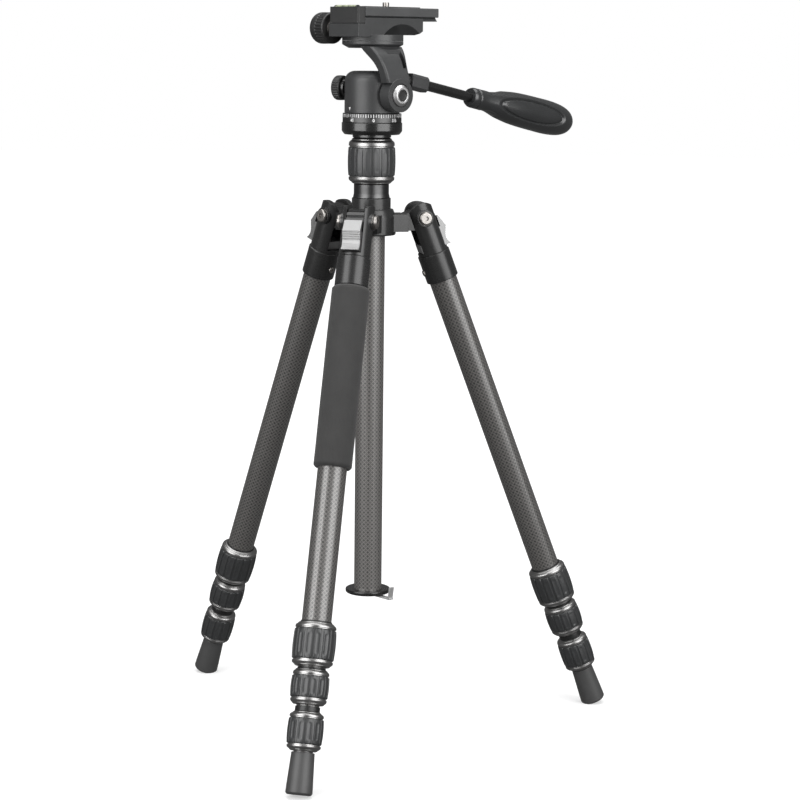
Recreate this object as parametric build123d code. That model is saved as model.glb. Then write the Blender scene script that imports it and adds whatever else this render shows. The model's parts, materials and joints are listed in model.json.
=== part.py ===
from build123d import *
import math
import os

# A travel tripod with a pan head.  Millimetres, +Z up.
# Everything is first built round the centre column: the column is the Z axis and z = 0 is the
# height of the leg pivots.  export() then moves it so that the origin is on the floor, under the
# middle of the whole tripod.

# ---------------------------------------------------------------- legs
LEG_AZIMUTHS = {"front": -90.0, "right": 30.0, "left": 150.0}
LEG_ANGLE = 21.1          # from the vertical, at the first stop
PIVOT_RADIUS = 51.4       # leg pivot to column axis
LEG_LENGTH = 549.0        # pivot to the end of the foot, sections closed
FOOT_WEAR = 1.6           # depth of the flat patch that the foot stands on

TUBE_RADII = (14.0, 12.3, 10.7, 9.1)
TUBE_WALL = 1.3
TUBE_TOPS = (40.0, 48.0, 52.0, 56.0)       # distance from the pivot, sections closed
TUBE_ENDS = (402.0, 446.0, 486.0, 520.0)

EAR_RADIUS = 15.5         # rounded top of the fork, about the pivot
CASTING_RADIUS = 15.2
CASTING_END = 37.0
SLEEVE_RADIUS = 16.3
SLEEVE_END = 66.0
SLOT_WIDTH = 18.4
SLOT_END = 34.2
BOSS_RADIUS = 8.6
BOSS_FACE = 15.6

AXLE_RADIUS = 4.0
FIT = 0.06                # radial clearance of a running fit
AXLE_FLANGE_RADIUS = 7.9
AXLE_HEAD_RADIUS = 6.5
AXLE_HEAD_FACE = 20.2
SET_SCREW_STATION = 54.0
SET_SCREW_RADIUS = 3.2

TAB_WIDTH = 17.6
TAB_TOP = 3.5
TAB_END = 33.6
TAB_DRAWN = {"front": 2.0, "right": 0.0, "left": 2.0}

# Twist locks: start, end, largest radius, radius of the two ends.
LOCKS = (
    (390.0, 431.0, 20.2, 15.6),
    (433.4, 466.4, 18.0, 13.9),
    (472.6, 509.0, 16.9, 11.8),
)
LOCK_BAND = 7.0           # height of each metal band
FOOT_TOP_STATION = 510.0
FOOT_TOP_RADIUS = 10.9
FOOT_END_RADIUS = 12.6

FOAM_START = 66.6
FOAM_END = 243.0
FOAM_RADIUS = 18.5

# ---------------------------------------------------------------- spider and column
TONGUE_WIDTH = 17.6
TONGUE_RADIUS = 12.5
ARM_WIDTH = 31.0
ARM_SHOULDER = 34.2       # where the wide arm ends and the tongue begins
ARM_BOTTOM = -13.0
ARM_TOP = 4.0
HUB_RADIUS = 24.5
HUB_BOTTOM = -16.5
NECK_BASE = 9.0
NECK_TOP = 20.0
NECK_RADIUS = 19.3
COLLET_RADIUS = 17.4
COLLET_TOP = 33.6

COLUMN_RADIUS = 14.0
COLUMN_WALL = 1.6
COLUMN_BOTTOM = -376.0
COLUMN_TOP = 79.4
COLUMN_LOCK = (34.0, 79.0, 23.6, 18.2)
COLUMN_LOCK_BAND = 10.0
LOOSE = 0.6               # radial gap of a collar that turns round a tube

TOP_PLATE_RADIUS = 19.0
TOP_PLATE_TOP = 82.2
STUD_RADIUS = 4.7         # 3/8 inch thread
END_CAP_RADIUS = 22.6
END_CAP_THICKNESS = 4.1
HOOK_AZIMUTH = -33.0
HOOK_REACH = 36.0
HOOK_WIDTH = 5.6
HOOK_THICKNESS = 1.6
HOOK_RISE = 13.0

# ---------------------------------------------------------------- pan head
# Head axes: x towards the handle, y away from the bracket, z up.
HEAD_AZIMUTH = 57.0
BASE_RADIUS = 29.8
BASE_BOTTOM = 82.3
BASE_TOP = 94.0
SCALE_RADIUS = 29.0
SCALE_TOP = 102.9
SPIGOT_RADIUS = 13.9
HOUSING_RADIUS = 27.2
HOUSING_BOTTOM = 103.3
HOUSING_TOP = 144.0
HOUSING_SHOULDER = 10.0
SHAFT_BOSS_RADIUS = 12.2

TILT_HEIGHT = 121.0
LUG_RADIUS = 16.2
LUG_INNER = -28.5
LUG_OUTER = -41.0
TILT_SHAFT_RADIUS = 6.0
CAP_RADIUS = 10.3
CAP_FACE = -44.0
CAP_DISC_RADIUS = 5.8     # sunk middle of the cap

PAN_KNOB_ANGLE = 108.5    # from the handle direction
PAN_KNOB_HEIGHT = 127.0
PAN_KNOB_RADIUS = 12.2
PAN_KNOB_START = 31.2     # from the column's axis
PAN_KNOB_END = 41.0
PAN_COLLAR_RADIUS = 9.0
PAN_COLLAR_START = 28.2

DISC_RADIUS = 30.0
DISC_BOTTOM = 166.0
DISC_TOP = 172.9
# Sections of the bracket arm: height, then the x range and the y range.
ARM_SECTIONS = (
    (133.0, (-16.0, 14.5), (-40.6, -28.5)),
    (141.0, (-18.0, 12.5), (-39.8, -28.2)),
    (148.0, (-19.5, 12.0), (-38.0, -25.5)),
    (158.0, (-22.0, 14.0), (-33.0, -17.0)),
    (167.5, (-24.5, 17.0), (-24.5, -8.0)),
)

# Recesses in the arm's near face, as opposite corners.
ARM_SLOTS = (
    ((-9.0, -60.0, 160.6), (9.5, -27.6, 164.4)),
    ((5.4, -60.0, 147.0), (10.6, -27.6, 164.4)),
)

PLATFORM_FRONT = -38.3
PLATFORM_REAR = 47.5
PLATFORM_WIDTH = 42.6
PLATFORM_BOTTOM = 178.9
PLATFORM_TOP = 195.0
# Side outline of the platform below its top: x, height.
PLATFORM_SIDE = ((-38.3, 176.9), (-24.0, 176.9), (-20.0, 178.9), (40.5, 178.9), (47.5, 182.8))
SCOOP_CENTRE = (20.0, -41.0, 154.5)
SCOOP_RADIUS = 40.0
SEAM = 0.7                # groove where the level block meets the platform
SEAM_DEPTH = 1.2
BLOCK_REAR = -29.6
BLOCK_BOTTOM = 189.7
BLOCK_TOP = 205.4
VIAL_RADIUS = 3.0
VIAL_LENGTH = 32.0
VIAL_X = -34.0
VIAL_Z = 204.0

PLATE_FRONT = -29.0
PLATE_REAR = 69.0
PLATE_WIDTH = 42.0
PLATE_BOTTOM = 196.4
PLATE_TOP = 205.2
PAD_TOP = 206.0
DOVETAIL_BOTTOM = 192.5
DOVETAIL_TOP_WIDTH = 32.0
DOVETAIL_WIDTH = 38.0
DOVETAIL_GAP = 0.4
CHANNEL_TOP = 196.3       # where the slope of the plate's channel would end
SCREW_X = 17.0
SCREW_RADIUS = 3.175      # 1/4 inch thread
SCREW_TIP = 210.4
SCREW_SHANK_RADIUS = 3.6
SCREW_HEAD_RADIUS = 7.4
SCREW_POCKET_RADIUS = 8.0
PAD_INSET = 1.5
PAD_REAR = 45.0
PAD_HOLE_RADIUS = 5.0

JAW_FRONT = -29.0
JAW_REAR = 5.0
JAW_INNER = 14.0
JAW_BOTTOM = 180.6
JAW_GAP = 0.3
KNOB_SCREW_RADIUS = 3.0   # of the clamp knob and the pan knob
CLAMP_KNOB_X = -27.0
CLAMP_KNOB_Z = 185.0
CLAMP_KNOB_RADIUS = 15.3
CLAMP_KNOB_START = 27.6
CLAMP_KNOB_RIM = 38.0
CLAMP_KNOB_END = 48.0
CLAMP_COLLAR_RADIUS = 8.0
CLAMP_COLLAR_LENGTH = 4.2

HANDLE_DROOP = 10.9
HANDLE_Y = -34.2
HANDLE_ROOT = (39.0, 130.6)          # where the rod leaves its clamp: x and z
ROD_RADIUS = 4.9
ROD_INSIDE = 26.0
CLAMP_BLOCK = (15.0, 13.4, 23.0)     # across the rod, along the lug's axis, along the rod
CLAMP_BLOCK_START = 15.6             # the block stays behind this x above the lug
GRIP_START = 63.0                    # along the rod from its clamp
GRIP_LENGTH = 152.0
# Grip outline: share of the length, radius.
GRIP_OUTLINE = (
    (0.00, 8.8), (0.02, 10.0), (0.12, 10.3), (0.27, 13.7), (0.42, 16.4),
    (0.62, 17.3), (0.80, 17.0), (0.92, 13.6), (0.985, 6.4), (1.0, 0.0),
)


# ---------------------------------------------------------------- shape helpers
def turned(outline):
    """Solid of revolution about Z.  Each corner is (radius, height, rounding)."""
    points = [(radius, height) for radius, height, rounding in outline]
    rounding = [corner[2] for corner in outline]
    edge = FilletPolyline(*points, radius=rounding, close=True)
    return revolve(Plane.XZ * make_face(edge), Axis.Z)


def rod(radius, start, end):
    """Solid cylinder along Z from start to end."""
    return Pos(0, 0, start) * Cylinder(radius, end - start, align=(Align.CENTER, Align.CENTER, Align.MIN))


def block(low, high):
    """Box between two opposite corners."""
    size = [h - l for l, h in zip(low, high)]
    return Pos(*low) * Box(*size, align=(Align.MIN, Align.MIN, Align.MIN))


def along_y(shape):
    """Lay a shape built along +Z down along +Y."""
    return Rot(-90, 0, 0) * shape


def side_plate(outline, half_width):
    """Plate with an outline in the XZ plane, thick along Y on both sides of it."""
    face = Plane.XZ * make_face(Polyline(*outline, close=True))
    return extrude(face, half_width, both=True)


def button_head(flange_radius, head_radius, base, seat, face):
    """Round-headed screw end along Z: a washer from base to seat, then a domed head to face."""
    washer = turned([(0, base, 0), (flange_radius, base, 0), (flange_radius, seat, 0.4), (0, seat, 0)])
    head = turned([(0, seat, 0), (head_radius, seat, 0), (head_radius, face, 1.6), (0, face, 0)])
    socket = Pos(0, 0, face - 2.2) * extrude(RegularPolygon(2.5, 6), 3)
    return washer + (head - socket)


# ---------------------------------------------------------------- leg parts
# Leg axes: z up the leg, x outwards, y along the pivot; the origin is the pivot.
def leg_casting():
    """Forked upper end of a leg and the sleeve that grips the first tube."""
    shaft = rod(CASTING_RADIUS, -CASTING_END, EAR_RADIUS)
    dome = along_y(rod(EAR_RADIUS, -EAR_RADIUS, EAR_RADIUS))
    dome += block((-EAR_RADIUS, -EAR_RADIUS, -CASTING_END), (EAR_RADIUS, EAR_RADIUS, 0))
    sleeve = turned([
        (0, -SLEEVE_END, 0), (SLEEVE_RADIUS, -SLEEVE_END, 0.8),
        (SLEEVE_RADIUS, -CASTING_END - 0.8, 0.4), (CASTING_RADIUS - 0.5, -CASTING_END, 0),
        (0, -CASTING_END, 0),
    ])
    body = (shaft & dome) + along_y(rod(BOSS_RADIUS, -BOSS_FACE, BOSS_FACE)) + sleeve
    half_slot = SLOT_WIDTH / 2
    reach = EAR_RADIUS + 5
    body -= block((-reach, -half_slot, -SLOT_END), (reach, half_slot, reach))
    body -= along_y(rod(AXLE_RADIUS + FIT, -reach, reach))
    body -= rod(TUBE_RADII[0] + 0.05, -SLEEVE_END - 1, -TUBE_TOPS[0])
    pocket = rod(SET_SCREW_RADIUS + 0.4, SLEEVE_RADIUS - 0.9, SLEEVE_RADIUS + 2)
    body -= Pos(0, 0, -SET_SCREW_STATION) * (Rot(0, -90, 0) * pocket)
    return body


def leg_pivot_screws():
    """The pivot's two screws, which meet inside the tongue, and the sleeve's set screw."""
    head = button_head(AXLE_FLANGE_RADIUS, AXLE_HEAD_RADIUS, BOSS_FACE + 0.05, BOSS_FACE + 1.2, AXLE_HEAD_FACE)
    screw = head + rod(AXLE_RADIUS, 0.1, BOSS_FACE + 0.05)
    set_screw = turned([
        (0, SLEEVE_RADIUS - 0.8, 0), (SET_SCREW_RADIUS, SLEEVE_RADIUS - 0.8, 0),
        (SET_SCREW_RADIUS, SLEEVE_RADIUS + 1.1, 0.7), (0, SLEEVE_RADIUS + 1.1, 0),
    ])
    set_screw -= Pos(0, 0, SLEEVE_RADIUS) * extrude(RegularPolygon(1.5, 6), 3)
    placed = Pos(0, 0, -SET_SCREW_STATION) * (Rot(0, -90, 0) * set_screw)
    return Compound(children=[along_y(screw), Rot(0, 0, 180) * along_y(screw), placed])


def leg_tab(drawn):
    """Pull-out tab that sets the leg's angle: a ribbed face outside and a pawl inside the fork."""
    outline = [
        (13.4, -TAB_TOP), (15.2, -TAB_TOP), (18.6, -13.0), (19.4, -15.0), (15.8, -24.0),
        (15.4, -27.0), (16.4, -30.5), (18.4, -TAB_END), (-12.5, -TAB_END), (-12.5, -25.0),
        (2.0, -25.0), (2.0, -14.0), (13.4, -14.0),
    ]
    tab = side_plate(outline, TAB_WIDTH / 2)
    rib_pitch = 2.1
    for number in range(4):
        station = -16.8 - number * rib_pitch
        depth = 19.2 - (number + 0.9) * 0.4 * rib_pitch
        tab -= Pos(depth + 0.75, 0, station) * Box(2.0, TAB_WIDTH + 1, 0.8)
    return Pos(drawn, 0, 0) * tab


def leg_tube(number):
    """One carbon tube of a leg, numbered from 0 at the top."""
    radius = TUBE_RADII[number]
    shell = rod(radius, -TUBE_ENDS[number], -TUBE_TOPS[number])
    return shell - rod(radius - TUBE_WALL, -TUBE_ENDS[number] - 1, -TUBE_TOPS[number] + 1)


def collar(low, high, largest, ends, band, bore):
    """Twist collar: a metal band at each end and a rubber sleeve between, standing proud."""
    shoulder = largest - 0.7
    body = turned([
        (bore, low, 0), (ends, low, 0.5), (shoulder, low + band * 0.55, 1.6), (shoulder, low + band, 0),
        (largest, low + band, 0.4), (largest, high - band, 0.4), (shoulder, high - band, 0),
        (shoulder, high - band * 0.55, 1.6), (ends, high, 0.5), (bore, high, 0),
    ])
    return body


def leg_lock(number):
    """Twist lock on the lower end of a tube: turns round that tube and grips the next one."""
    start, end, largest, ends = LOCKS[number]
    ring = collar(-end, -start, largest, ends, LOCK_BAND, TUBE_RADII[number + 1] + LOOSE)
    return ring - rod(TUBE_RADII[number] + LOOSE, -TUBE_ENDS[number] - LOOSE, -start + 1)


def leg_foot():
    """Rubber foot, pressed over the last tube, before it is trimmed level with the floor."""
    foot = turned([
        (0, -LEG_LENGTH, 0), (FOOT_END_RADIUS - 1.5, -LEG_LENGTH, 1.0),
        (FOOT_END_RADIUS, -LEG_LENGTH + 1.8, 1.0), (FOOT_END_RADIUS - 0.2, -LEG_LENGTH + 9, 4),
        (FOOT_TOP_RADIUS, -FOOT_TOP_STATION, 0.8), (0, -FOOT_TOP_STATION, 0),
    ])
    return foot - rod(TUBE_RADII[3], -TUBE_ENDS[3], -FOOT_TOP_STATION + 1)


def foam_grip():
    """Foam sleeve round the upper tube of the front leg."""
    return turned([
        (TUBE_RADII[0] + 0.05, -FOAM_END, 0), (FOAM_RADIUS, -FOAM_END, 2.0),
        (FOAM_RADIUS, -FOAM_START, 2.0), (TUBE_RADII[0] + 0.05, -FOAM_START, 0),
    ])


def pivot_height():
    """Height of the pivots above the floor."""
    lean = math.radians(LEG_ANGLE)
    return LEG_LENGTH * math.cos(lean) + FOOT_END_RADIUS * math.sin(lean) - FOOT_WEAR


def lean_out(shape, azimuth):
    """Place a part built in leg axes on the leg at an azimuth."""
    return Rot(0, 0, azimuth) * (Pos(PIVOT_RADIUS, 0, 0) * (Rot(0, -LEG_ANGLE, 0) * shape))


def leg_parts(name, azimuth):
    """Every part of one leg, placed."""
    parts = {
        f"leg_{name}_casting": leg_casting(),
        f"leg_{name}_pivot_screws": leg_pivot_screws(),
        f"leg_{name}_tab": leg_tab(TAB_DRAWN[name]),
    }
    for number in range(4):
        parts[f"leg_{name}_tube_{number + 1}"] = leg_tube(number)
    for number in range(3):
        parts[f"leg_{name}_lock_{number + 1}"] = leg_lock(number)
    if name == "front":
        parts["foam_grip"] = foam_grip()
    placed = {node: lean_out(shape, azimuth) for node, shape in parts.items()}
    floor = block((-400, -400, -pivot_height() - 50), (400, 400, -pivot_height()))
    placed[f"leg_{name}_foot"] = lean_out(leg_foot(), azimuth) - floor
    return placed


# ---------------------------------------------------------------- spider and column parts
def spider_arm():
    """One arm, towards +X: a wide root, then the tongue with the notches of the angle stops."""
    root = block((0, -ARM_WIDTH / 2, ARM_BOTTOM), (ARM_SHOULDER, ARM_WIDTH / 2, ARM_TOP))
    tongue = side_plate([
        (ARM_SHOULDER - 1, ARM_BOTTOM + 0.5), (PIVOT_RADIUS, ARM_BOTTOM + 0.5),
        (PIVOT_RADIUS, TONGUE_RADIUS - 0.6), (ARM_SHOULDER - 1, ARM_TOP),
    ], TONGUE_WIDTH / 2)
    tongue += Pos(PIVOT_RADIUS, 0, 0) * along_y(rod(TONGUE_RADIUS, -TONGUE_WIDTH / 2, TONGUE_WIDTH / 2))
    for lean in (28.0, 58.0):
        notch = Pos(TONGUE_RADIUS + 0.4, 0, 0) * Box(3.4, TONGUE_WIDTH + 1, 2.6)
        tongue -= Pos(PIVOT_RADIUS, 0, 0) * (Rot(0, -lean, 0) * notch)
    tongue -= Pos(PIVOT_RADIUS, 0, 0) * along_y(rod(AXLE_RADIUS + FIT, -TONGUE_WIDTH, TONGUE_WIDTH))
    return root + tongue


def spider():
    """Centre casting: the hub that guides the column and the three arms."""
    hub = turned([
        (0, HUB_BOTTOM, 0), (HUB_RADIUS, HUB_BOTTOM, 1.5), (HUB_RADIUS, ARM_TOP - 2, 1.0),
        (NECK_RADIUS + 2.5, NECK_BASE, 1.0), (NECK_RADIUS, NECK_BASE + 0.5, 0),
        (NECK_RADIUS, NECK_TOP, 0.5), (0, NECK_TOP, 0),
    ])
    body = hub
    for azimuth in LEG_AZIMUTHS.values():
        body += Rot(0, 0, azimuth) * spider_arm()
    return body - rod(COLUMN_RADIUS + FIT, HUB_BOTTOM - 1, NECK_TOP + 1)


def hub_collet():
    """Threaded collar on the hub's neck that the column lock tightens."""
    return turned([
        (COLUMN_RADIUS + FIT, NECK_TOP + 0.1, 0), (COLLET_RADIUS + 0.9, NECK_TOP + 0.1, 0.4),
        (COLLET_RADIUS, NECK_TOP + 4.2, 0.6), (COLLET_RADIUS, COLLET_TOP, 0.4),
        (COLUMN_RADIUS + FIT, COLLET_TOP, 0),
    ])


def column_lock():
    """Large twist collar that holds the column's height."""
    low, high, largest, ends = COLUMN_LOCK
    return collar(low, high, largest, ends, COLUMN_LOCK_BAND, COLUMN_RADIUS + LOOSE)


def column_tube():
    """Carbon centre column."""
    shell = rod(COLUMN_RADIUS, COLUMN_BOTTOM, COLUMN_TOP)
    return shell - rod(COLUMN_RADIUS - COLUMN_WALL, COLUMN_BOTTOM - 1, COLUMN_TOP + 1)


def column_top_plate():
    """Plate glued in the column's top, with the stud that the head screws on."""
    plug = COLUMN_RADIUS - COLUMN_WALL - 0.05
    return turned([
        (0, COLUMN_TOP - 20, 0), (plug, COLUMN_TOP - 20, 1), (plug, COLUMN_TOP, 0),
        (TOP_PLATE_RADIUS, COLUMN_TOP, 0.4), (TOP_PLATE_RADIUS, TOP_PLATE_TOP, 0.4),
        (STUD_RADIUS, TOP_PLATE_TOP, 0), (STUD_RADIUS, BASE_TOP - 2, 0.6), (0, BASE_TOP - 2, 0),
    ])


def column_end_cap():
    """Flanged cap under the column, bored for the hook's screw."""
    plug = COLUMN_RADIUS - COLUMN_WALL - 0.05
    low = COLUMN_BOTTOM - END_CAP_THICKNESS
    return turned([
        (2.0 + FIT, low, 0), (END_CAP_RADIUS, low, 1.6), (END_CAP_RADIUS, COLUMN_BOTTOM, 1.0),
        (plug, COLUMN_BOTTOM, 0), (plug, COLUMN_BOTTOM + 22, 1), (2.0 + FIT, COLUMN_BOTTOM + 22, 0),
    ])


def weight_hook():
    """Flat swivel hook for a bag, with its centre screw."""
    top = COLUMN_BOTTOM - END_CAP_THICKNESS - 0.5
    bottom = top - HOOK_THICKNESS
    strip = block((0, -HOOK_WIDTH / 2, bottom), (HOOK_REACH - 1, HOOK_WIDTH / 2, top))
    strip += rod(HOOK_WIDTH, bottom, top)
    upright = block((-HOOK_THICKNESS, -HOOK_WIDTH / 2, 0), (0, HOOK_WIDTH / 2, HOOK_RISE))
    strip += Pos(HOOK_REACH - 2.0, 0, bottom) * (Rot(0, 9, 0) * upright)
    screw = rod(2.0, bottom, COLUMN_BOTTOM + 8) + turned([
        (0, bottom - 2.0, 0), (4.2, bottom - 2.0, 1.2), (4.2, bottom, 0), (0, bottom, 0),
    ])
    return Rot(0, 0, HOOK_AZIMUTH) * (strip + screw)


# ---------------------------------------------------------------- pan head parts
def pan_base():
    """Black base ring of the head, threaded for the column's stud."""
    return turned([
        (STUD_RADIUS + 0.05, BASE_BOTTOM, 0), (BASE_RADIUS - 2.6, BASE_BOTTOM, 1.0),
        (BASE_RADIUS, BASE_BOTTOM + 3.4, 2.5), (BASE_RADIUS, BASE_TOP, 0.6), (STUD_RADIUS + 0.05, BASE_TOP, 0),
    ])


def pan_scale():
    """Ring that carries the degree marks."""
    bore = SPIGOT_RADIUS + FIT
    return turned([
        (bore, BASE_TOP + 0.1, 0), (SCALE_RADIUS, BASE_TOP + 0.1, 0.4),
        (SCALE_RADIUS, SCALE_TOP, 0.5), (bore, SCALE_TOP, 0),
    ])


def pan_knob_direction():
    """Placement that turns +Z to point out along the pan knob."""
    return Pos(0, 0, PAN_KNOB_HEIGHT) * Rot(0, 0, PAN_KNOB_ANGLE) * Rot(0, 90, 0)


def pan_housing():
    """Domed housing that pans on its spigot and carries the tilt shaft."""
    body = turned([
        (0, BASE_TOP + 1, 0), (SPIGOT_RADIUS, BASE_TOP + 1, 0.5), (SPIGOT_RADIUS, HOUSING_BOTTOM, 0),
        (HOUSING_RADIUS, HOUSING_BOTTOM, 0.4), (HOUSING_RADIUS, HOUSING_TOP, HOUSING_SHOULDER),
        (15.5, HOUSING_TOP, 0.3), (15.5, HOUSING_TOP - 0.6, 0), (0, HOUSING_TOP - 0.6, 0),
    ])
    boss = Pos(0, 0, TILT_HEIGHT) * along_y(rod(SHAFT_BOSS_RADIUS, LUG_INNER + 0.5, 0))
    bore = Pos(0, 0, TILT_HEIGHT) * along_y(rod(TILT_SHAFT_RADIUS + FIT, -60, -9.5))
    knob_bore = pan_knob_direction() * rod(KNOB_SCREW_RADIUS + FIT, 15, 60)
    return body + boss - bore - knob_bore


def pan_knob():
    """Small knob that locks the pan, with its collar and screw."""
    knob = rod(KNOB_SCREW_RADIUS, 16, PAN_KNOB_START)
    knob += rod(PAN_COLLAR_RADIUS, PAN_COLLAR_START, PAN_KNOB_START)
    knob += turned([
        (0, PAN_KNOB_START, 0), (PAN_KNOB_RADIUS, PAN_KNOB_START, 1.0),
        (PAN_KNOB_RADIUS, PAN_KNOB_END, 2.0), (0, PAN_KNOB_END, 0),
    ])
    return pan_knob_direction() * knob


def handle_direction():
    """Placement that turns +Z to point out along the handle from the mouth of its clamp."""
    place = Pos(HANDLE_ROOT[0], HANDLE_Y, HANDLE_ROOT[1])
    return place * Rot(0, 90 + HANDLE_DROOP, 0)


def arm_section(height, x_range, y_range):
    """One rounded rectangular section of the bracket's arm."""
    middle = ((x_range[0] + x_range[1]) / 2, (y_range[0] + y_range[1]) / 2)
    shape = RectangleRounded(x_range[1] - x_range[0], y_range[1] - y_range[0], 2.4)
    return Pos(middle[0], middle[1], height) * shape


def tilt_bracket():
    """Bracket that tilts on the shaft: a lug, a curved arm and the disc under the platform."""
    disc = turned([
        (0, DISC_BOTTOM, 0), (DISC_RADIUS - 6.5, DISC_BOTTOM, 3), (DISC_RADIUS, DISC_TOP - 3.4, 1.2),
        (DISC_RADIUS, DISC_TOP, 0.4), (0, DISC_TOP, 0),
    ])
    lug = along_y(rod(LUG_RADIUS, LUG_OUTER, LUG_INNER))
    lug -= along_y(rod(CAP_RADIUS + 1.2, LUG_OUTER - 1, LUG_OUTER + 1.2))
    arm = loft([arm_section(*section) for section in ARM_SECTIONS])
    body = disc + Pos(0, 0, TILT_HEIGHT) * lug + arm
    body -= Pos(0, 0, TILT_HEIGHT) * along_y(rod(TILT_SHAFT_RADIUS, LUG_OUTER - 1, LUG_INNER + 1))
    for low, high in ARM_SLOTS:
        body -= block(low, high)
    body -= handle_direction() * rod(ROD_RADIUS + FIT, -40, 10)
    return body


def tilt_cap():
    """Tilt shaft with its bright outer cap."""
    shaft = rod(TILT_SHAFT_RADIUS, 10.0, -LUG_OUTER - 1.2)
    cap = turned([
        (0, -LUG_OUTER - 1.2, 0), (CAP_RADIUS, -LUG_OUTER - 1.2, 0), (CAP_RADIUS, -LUG_OUTER + 0.8, 0.3),
        (CAP_RADIUS - 2.4, -CAP_FACE, 0.8), (CAP_DISC_RADIUS, -CAP_FACE, 0.4),
        (CAP_DISC_RADIUS, -CAP_FACE - 1.2, 0), (0, -CAP_FACE - 1.2, 0),
    ])
    return Pos(0, 0, TILT_HEIGHT) * (Rot(90, 0, 0) * (shaft + cap))


def handle_clamp():
    """Block behind the lug that the handle's rod screws through."""
    shape = Box(*CLAMP_BLOCK, align=(Align.CENTER, Align.CENTER, Align.MAX))
    shape = chamfer(shape.edges().filter_by(Axis.Z), 2.6)
    shape = chamfer(shape.faces().sort_by(Axis.Z)[-1].edges(), 1.4)
    body = handle_direction() * shape
    body -= Pos(0, 0, TILT_HEIGHT) * along_y(rod(LUG_RADIUS + 0.05, LUG_OUTER - 5, 0))
    body -= block((-30, -60, TILT_HEIGHT), (CLAMP_BLOCK_START, 0, TILT_HEIGHT + 40))
    return body - handle_direction() * rod(ROD_RADIUS + FIT, -40, 10)


def dovetail(widen, low, high, front, rear):
    """Dovetail bar along X, wider at the bottom."""
    bottom = DOVETAIL_WIDTH / 2 + widen
    top = DOVETAIL_TOP_WIDTH / 2 + widen
    outline = [(-bottom, low), (bottom, low), (top, high), (-top, high)]
    face = Plane.YZ * make_face(Polyline(*outline, close=True))
    return Pos(front, 0, 0) * extrude(face, rear - front)


def plate_channel(front, rear):
    """Space in the platform for the plate's dovetail."""
    return dovetail(DOVETAIL_GAP, DOVETAIL_BOTTOM - DOVETAIL_GAP, CHANNEL_TOP, front, rear)


def clamp_screw_bore():
    """Hole for the clamp knob's screw."""
    return Pos(CLAMP_KNOB_X, 0, CLAMP_KNOB_Z) * along_y(rod(KNOB_SCREW_RADIUS + FIT, 2, 40))


def jaw_blank(gap):
    """Space of the moving jaw in the platform's far side."""
    low = (JAW_FRONT - gap, JAW_INNER - gap, JAW_BOTTOM - gap)
    return block(low, (JAW_REAR + gap, PLATFORM_WIDTH / 2, PLATFORM_TOP))


def platform():
    """Clamp platform on its round foot, with the dovetail channel of the quick-release plate."""
    foot = rod(DISC_RADIUS, DISC_TOP + 0.1, PLATFORM_BOTTOM)
    half = PLATFORM_WIDTH / 2
    top = [(PLATFORM_REAR, PLATFORM_TOP), (PLATFORM_FRONT, PLATFORM_TOP)]
    body = side_plate([*PLATFORM_SIDE, *top], half)
    body -= Pos(*SCOOP_CENTRE) * Sphere(SCOOP_RADIUS)
    body += foot
    body -= plate_channel(BLOCK_REAR, PLATFORM_REAR + 1)
    body -= block((PLATFORM_FRONT - 1, -half - 1, BLOCK_BOTTOM), (BLOCK_REAR, half + 1, PLATFORM_TOP + 1))
    seam_low = BLOCK_BOTTOM - SEAM
    body -= block((PLATFORM_FRONT - 1, -half - 1, seam_low), (BLOCK_REAR, SEAM_DEPTH - half, BLOCK_BOTTOM))
    front_seam = PLATFORM_FRONT + SEAM_DEPTH
    body -= block((PLATFORM_FRONT - 1, -half - 1, seam_low), (front_seam, half + 1, BLOCK_BOTTOM))
    jaw_low = (JAW_FRONT - JAW_GAP, half - 1, JAW_BOTTOM - JAW_GAP)
    body -= jaw_blank(JAW_GAP) + block(jaw_low, (JAW_REAR + JAW_GAP, half + 1, PLATFORM_TOP + 5))
    return body - clamp_screw_bore()


def level_block():
    """Raised block across the front of the platform that stops the plate and holds the level."""
    half = PLATFORM_WIDTH / 2 - 0.3
    body = block((PLATFORM_FRONT, -half, BLOCK_BOTTOM + 0.1), (BLOCK_REAR - 0.1, half, BLOCK_TOP))
    front_corners = body.edges().filter_by(Axis.Z).group_by(Axis.X)[0]
    body = chamfer(front_corners, 1.2)
    vial_seat = along_y(rod(VIAL_RADIUS + 0.05, -VIAL_LENGTH / 2 - 0.1, VIAL_LENGTH / 2 + 0.1))
    return body - Pos(VIAL_X, 0, VIAL_Z) * vial_seat


def level_vial():
    """Clear tube of the spirit level."""
    return Pos(VIAL_X, 0, VIAL_Z) * along_y(rod(VIAL_RADIUS, -VIAL_LENGTH / 2, VIAL_LENGTH / 2))


def clamp_jaw():
    """Sliding jaw on the platform's far side."""
    return jaw_blank(0) - plate_channel(JAW_FRONT - 1, JAW_REAR + 1) - clamp_screw_bore()


def clamp_knob():
    """Domed knob that draws the jaw in, with its screw."""
    knob = rod(KNOB_SCREW_RADIUS, 4.0, CLAMP_KNOB_START + 1)
    knob += rod(CLAMP_COLLAR_RADIUS, CLAMP_KNOB_START - CLAMP_COLLAR_LENGTH, CLAMP_KNOB_START)
    dome_radius = CLAMP_KNOB_END - CLAMP_KNOB_RIM
    knob += turned([
        (0, CLAMP_KNOB_START, 0), (CLAMP_KNOB_RADIUS, CLAMP_KNOB_START, 1.2),
        (CLAMP_KNOB_RADIUS, CLAMP_KNOB_END, dome_radius), (0, CLAMP_KNOB_END, 0),
    ])
    return Pos(CLAMP_KNOB_X, 0, CLAMP_KNOB_Z) * along_y(knob)


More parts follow.
